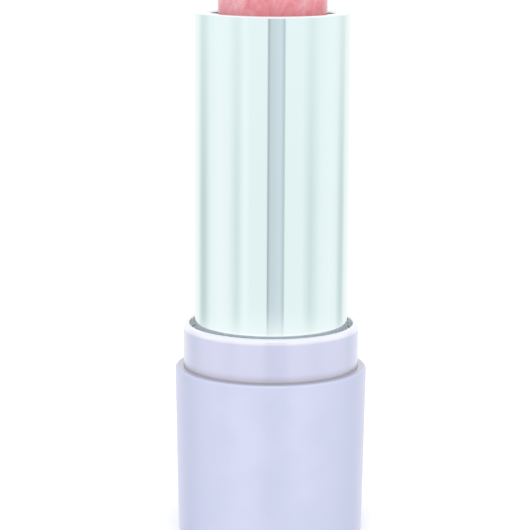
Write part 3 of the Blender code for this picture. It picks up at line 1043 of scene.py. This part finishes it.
@dataclass
class Flower:
    """The dried flower cast in the bullet: thin petals in rings on a round heart with a stem."""

    height: float = 58.5 * MM
    rings: tuple[PetalRing, ...] = (
        PetalRing(7, -0.3 * MM, 8.0, 38.0, 0.0, 5.4 * MM, 1.3 * MM),
        PetalRing(6, 0.0, 30.0, 58.0, 0.4, 4.9 * MM, 1.2 * MM),
        PetalRing(5, 0.3 * MM, 60.0, 74.0, 0.2, 2.75 * MM, 1.05 * MM),
    )
    heart_radius: float = 1.0 * MM
    heart_steps: int = 8
    stem_radius: float = 0.5 * MM
    stem_foot: float = 47.0 * MM
    stem_sides: int = 24
    root_radius: float = 0.6 * MM
    reach_limit: float = 5.6 * MM
    petal_thickness: float = 0.12 * MM
    petal_columns: int = 10
    petal_rows: int = 18
    petal: Petal = Petal()
    # A petal's outline: the part of a half wave that it follows, and how its tip closes.
    swell_from: float = 0.1
    swell_run: float = 0.75
    tip_from: float = 0.72
    tip_width: float = 0.02
    # Its cup and its ripple as shares of its half width, and how many ripples run along it.
    cup: float = 0.22
    ripple: float = 0.08
    ripples: float = 2.0
    # How far petals differ from each other.
    seed: int = 7
    heading_play: float = 0.06
    vein_play: float = 10.0
    length_play: Span = (0.94, 1.02)
    twist_play: float = 0.3
    lean_play: float = 0.06

    def half_width(self, ring: PetalRing, along: float) -> float:
        """Gives a petal's half width, which swells from its root and closes round its tip.

        Args:
            ring: the ring that the petal belongs to.
            along: the share of its length from the root.

        Returns:
            The half width there.
        """
        swell = ring.half_width * math.sin(math.pi * (self.swell_from + self.swell_run * along))
        past = max(0.0, along - self.tip_from) / (1.0 - self.tip_from)
        return swell * math.sqrt(max(self.tip_width**2, 1.0 - past**2))

    def shape_petal(self, ring: PetalRing, heading: float, chance: random.Random) -> Shape:
        """Bends a flat grid into one petal.

        Args:
            ring: the ring that the petal belongs to.
            heading: its direction about the axis, in radians from +Y.
            chance: the source of its small differences from the others.

        Returns:
            The petal's shape, with its own UV map across and along it.
        """
        bm = bmesh.new()
        bmesh.ops.create_grid(
            bm, x_segments=self.petal_columns, y_segments=self.petal_rows, size=0.5
        )
        uv_layer = bm.loops.layers.uv.new("petal")
        shift = chance.uniform(0.0, self.vein_play)
        for face in bm.faces:
            for loop in face.loops:
                loop[uv_layer].uv = (loop.vert.co.x + shift, loop.vert.co.y + 0.5)
        root_slope, tip_slope = math.radians(ring.root_rise), math.radians(ring.tip_rise)
        length = (ring.reach - self.root_radius) / math.cos((root_slope + tip_slope) / 2.0)
        length *= chance.uniform(*self.length_play)
        twist = chance.uniform(-self.twist_play, self.twist_play)
        lean = chance.uniform(-self.lean_play, self.lean_play)
        wave = chance.uniform(0.0, FULL_TURN)
        for vert in bm.verts:
            across = 2.0 * vert.co.x
            along = vert.co.y + 0.5
            half_width = self.half_width(ring, along)
            slope = root_slope + lean + (tip_slope - root_slope) * along / 2.0
            reach = self.root_radius + length * along * math.cos(slope)
            side = across * half_width
            cup = self.cup * half_width * across * across
            swing = math.sin(FULL_TURN * self.ripples * along + wave)
            ripple = self.ripple * half_width * swing * across
            rise = length * along * math.sin(slope) + cup + ripple + side * twist * along
            spot = Vector((side, reach, rise))
            flat = spot.xy.length
            if flat > self.reach_limit:
                spot.xy = spot.xy * (self.reach_limit / flat)
            vert.co = spot
        turn = Matrix.Rotation(heading, 3, "Z")
        bmesh.ops.rotate(bm, verts=bm.verts, cent=(0.0, 0.0, 0.0), matrix=turn)
        bmesh.ops.translate(bm, verts=bm.verts, vec=(0.0, 0.0, self.height + ring.lift))
        return bm

    def shape_heart(self) -> Shape:
        """Turns the round heart with its stem, which stands on the bullet's foot.

        Returns:
            The two as one shape.
        """
        meeting = math.acos(self.stem_radius / self.heart_radius)
        corners = []
        for step in range(self.heart_steps + 1):
            angle = QUARTER_TURN - (QUARTER_TURN + meeting) * step / self.heart_steps
            height = self.height + self.heart_radius * math.sin(angle)
            corners.append(Corner(self.heart_radius * math.cos(angle), height))
        corners += [Corner(self.stem_radius, self.stem_foot), Corner(0.0, self.stem_foot)]
        return turned(corners, closed=False, sides=self.stem_sides)

    def build(self) -> None:
        """Gathers the petals of every ring, the heart and the stem into one piece."""
        chance = random.Random(self.seed)
        whole = bmesh.new()
        for ring in self.rings:
            for index in range(ring.count):
                middle = (index + 0.5 + ring.turn_share) / ring.count
                heading = FULL_TURN * middle + chance.uniform(-self.heading_play, self.heading_play)
                add_shape(whole, self.shape_petal(ring, heading, chance))
        bmesh.ops.solidify(whole, geom=whole.faces[:], thickness=self.petal_thickness)
        bmesh.ops.recalc_face_normals(whole, faces=whole.faces)
        add_shape(whole, self.shape_heart())
        piece = make_piece("flower_petals", whole, self.petal.build(), Body.CARRIER)
        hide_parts("flower")


@dataclass(frozen=True)
class Band:
    """What stands round the studio at one azimuth: 0 is behind the camera and +90 to the right."""

    azimuth: float
    color: Tint


@dataclass
class Studio:
    """A white table, white and grey panels round it, a white ceiling, and a soft lamp in front.

    The panels, the grey gap between them in front, the ceiling and the glow of the table are in
    the world, where the camera doesn't see them. fades and glows give how much of the ceiling and
    of the glow there is at each height, from -1 straight below to 1 straight above.
    """

    floor_radius: float = 100.0 * MM
    floor_setback: float = 10.0 * MM
    floor_sink: float = 0.01 * MM
    floor_sides: int = 96
    paper_color: str = "f4f4f5"
    paper_glow: float = 0.12
    lens: float = 149.43
    sensor_width: float = 36.0
    camera_distance: float = 243.61 * MM
    camera_height: float = 74.81 * MM
    camera_pitch: float = math.radians(10.322)
    camera_roll: float = math.radians(0.289)
    camera_yaw: float = math.radians(0.166)
    camera_reach: Span = (0.01, 10.0)
    lamp_size: float = 110.0 * MM
    lamp_distance: float = 120.0 * MM
    lamp_height: float = 300.0 * MM
    lamp_aim: float = 30.0 * MM
    lamp_power: float = 0.14
    overhead: Tint = (1.05, 1.05, 1.05)
    fades: tuple[Span, ...] = ((-0.15, 0.0), (-0.07, 0.5), (0.05, 0.5), (0.7, 1.0))
    table_glow: Tint = (1.15, 1.1, 1.1)
    glows: tuple[Span, ...] = ((-0.3, 0.35), (-0.2105, 1.0), (-0.2045, 0.0))
    bands: tuple[Band, ...] = (
        Band(-180.0, (1.06, 1.03, 1.03)),
        Band(-142.0, (1.04, 1.02, 1.02)),
        Band(-127.0, (0.69, 0.73, 0.73)),
        Band(-118.0, (0.72, 0.76, 0.76)),
        Band(-104.0, (1.0, 1.0, 1.0)),
        Band(-85.0, (1.10, 1.04, 1.06)),
        Band(-68.0, (1.05, 1.02, 1.03)),
        Band(-53.0, (0.83, 0.86, 0.85)),
        Band(-40.0, (1.09, 1.05, 1.06)),
        Band(-32.0, (0.99, 0.99, 0.99)),
        Band(46.0, (1.0, 1.0, 1.0)),
        Band(60.0, (0.80, 0.83, 0.83)),
        Band(76.0, (1.0, 1.0, 1.0)),
        Band(98.0, (1.07, 1.03, 1.04)),
        Band(112.0, (1.0, 1.0, 1.0)),
        Band(125.0, (0.73, 0.78, 0.77)),
        Band(131.0, (0.76, 0.80, 0.79)),
        Band(142.0, (1.02, 1.01, 1.01)),
        Band(180.0, (1.06, 1.03, 1.03)),
    )
    gap: tuple[Band, ...] = (
        Band(-7.1, (1.0, 1.0, 1.0)),
        Band(-6.2, (0.40, 0.43, 0.45)),
        Band(-4.6, (0.55, 0.57, 0.60)),
        Band(-2.0, (0.71, 0.73, 0.77)),
        Band(12.8, (0.79, 0.81, 0.86)),
        Band(15.8, (0.68, 0.71, 0.75)),
        Band(18.4, (0.60, 0.63, 0.66)),
        Band(19.6, (1.0, 1.0, 1.0)),
    )
    gap_top: float = 0.5

    def build_world(self) -> None:
        """Makes the world: white to the camera, and the studio to all that reflects or is lit."""
        world = bpy.data.worlds.new("studio")
        bpy.context.scene.world = world
        world.use_nodes = True
        tree = world.node_tree
        tree.nodes.clear()
        direction = add_node(tree, "TexCoord").outputs["Generated"]
        x, y, height = add_node(tree, "SeparateXYZ", links={"Vector": direction}).outputs
        turn = {"From Min": -math.pi, "From Max": math.pi}
        around = add_node(tree, "MapRange", turn, {"Value": heading_from_front(tree, x, y)})
        level = add_node(tree, "MapRange", {"From Min": -1.0}, {"Value": height})
        panels, gap = (
            [((band.azimuth + 180.0) / 360.0, (*band.color, 1.0)) for band in bands]
            for bands in (self.bands, self.gap)
        )
        ceiling, glow = (
            [(0.5 + 0.5 * at, (amount, amount, amount, 1.0)) for at, amount in amounts]
            for amounts in (self.fades, self.glows)
        )
        panels, gap, ceiling, glow = (
            add_node(tree, "ValToRGB", {"stops": stops}, {"Fac": place})
            for stops, place in ((panels, around), (gap, around), (ceiling, level), (glow, level))
        )
        over = {"data_type": "RGBA", 7: (*self.overhead, 1.0)}
        covered = add_node(tree, "Mix", over, {0: ceiling, 6: panels})
        fade = {"From Max": self.gap_top, "To Min": 1.0, "To Max": 0.0}
        gap_share = add_node(tree, "MapRange", fade, {"Value": height})
        shade = {"data_type": "RGBA", "blend_type": "MULTIPLY"}
        parted = add_node(tree, "Mix", shade, {0: gap_share, 6: covered, 7: gap})
        under = {"data_type": "RGBA", 7: (*self.table_glow, 1.0)}
        lit = add_node(tree, "Mix", under, {0: glow, 6: parted})
        plain = ray_is(tree, "Is Camera Ray", "Is Transmission Ray")
        seen = add_node(tree, "Mix", {"data_type": "RGBA", 7: WHITE}, {0: plain, 6: lit})
        shine = add_node(tree, "Background", links={"Color": seen})
        add_node(tree, "OutputWorld", links={"Surface": shine})

    def build_floor(self) -> None:
        """Lays the table: paper that keeps the shadow and glows a little, so that it looks white.

        Reflections leave it out: they show the table's glow in the world.
        """
        bm = bmesh.new()
        bmesh.ops.create_circle(
            bm, cap_ends=True, segments=self.floor_sides, radius=self.floor_radius
        )
        bmesh.ops.translate(bm, verts=bm.verts, vec=(0.0, self.floor_setback, -self.floor_sink))
        mesh = bpy.data.meshes.new("table_top")
        bm.to_mesh(mesh)
        bm.free()
        material, tree = new_material("white_paper", self.paper_color)
        paper = add_node(tree, "BsdfDiffuse", {"Color": linear(self.paper_color)})
        plain = ray_is(tree, "Is Camera Ray", "Is Glossy Ray", "Is Transmission Ray")
        faint = {"operation": "MULTIPLY", 1: self.paper_glow}
        strength = add_node(tree, "Math", faint, {0: plain})
        glow = add_node(tree, "Emission", {"Color": WHITE}, {"Strength": strength})
        both = add_node(tree, "AddShader", links={0: paper, 1: glow})
        add_node(tree, "OutputMaterial", links={"Surface": both})
        mesh.materials.append(material)
        floor = bpy.data.objects.new("table_top", mesh)
        bpy.context.scene.collection.objects.link(floor)
        floor.visible_glossy = False
        floor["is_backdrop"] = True

    def build_lamp(self) -> None:
        """Hangs the soft lamp above the front and aims it at the lipstick."""
        light = bpy.data.lights.new("front_lamp", "AREA")
        light.shape = "DISK"
        light.size = self.lamp_size
        light.energy = self.lamp_power
        lamp = bpy.data.objects.new("front_lamp", light)
        lamp.visible_glossy = False
        spot = Vector((0.0, -self.lamp_distance, self.lamp_height))
        aim = Vector((0.0, 0.0, self.lamp_aim)) - spot
        lamp.location = spot
        lamp.rotation_euler = aim.to_track_quat("-Z", "Y").to_euler()
        bpy.context.scene.collection.objects.link(lamp)

    def build_camera(self) -> None:
        """Sets the camera where the photograph was taken from."""
        data = bpy.data.cameras.new("camera")
        data.sensor_width = self.sensor_width
        data.lens = self.lens
        data.clip_start, data.clip_end = self.camera_reach
        camera = bpy.data.objects.new("camera", data)
        pitch = Matrix.Rotation(QUARTER_TURN - self.camera_pitch, 4, "X")
        yaw, roll = (Matrix.Rotation(turn, 4, "Z") for turn in (self.camera_yaw, self.camera_roll))
        place = Matrix.Translation((0.0, -self.camera_distance, self.camera_height))
        camera.matrix_world = place @ (yaw @ pitch @ roll)
        bpy.context.scene.collection.objects.link(camera)
        bpy.context.scene.camera = camera

    def build(self) -> None:
        """Builds the world, the table, the lamp and the camera."""
        self.build_world()
        self.build_floor()
        self.build_lamp()
        self.build_camera()
        bpy.context.scene.view_settings.view_transform = "Standard"


def main() -> None:
    """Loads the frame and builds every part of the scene."""
    logging.basicConfig(level=logging.INFO, format="%(name)s: %(message)s")
    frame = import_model()
    cad_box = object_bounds()
    Studio().build()
    nodes = frame["nodes"]
    Base().build(nodes)
    Sleeve().build(nodes)
    Mechanism().build(nodes)
    Bullet().build()
    Flower().build()
    shown_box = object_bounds()
    for name, box in (("CAD box", cad_box), ("shown box", shown_box)):
        size = [(high - low) / MM for low, high in zip(*box)]
        LOG.info("%s: %.2f x %.2f x %.2f mm", name, *size)


if __name__ == "__main__":
    main()
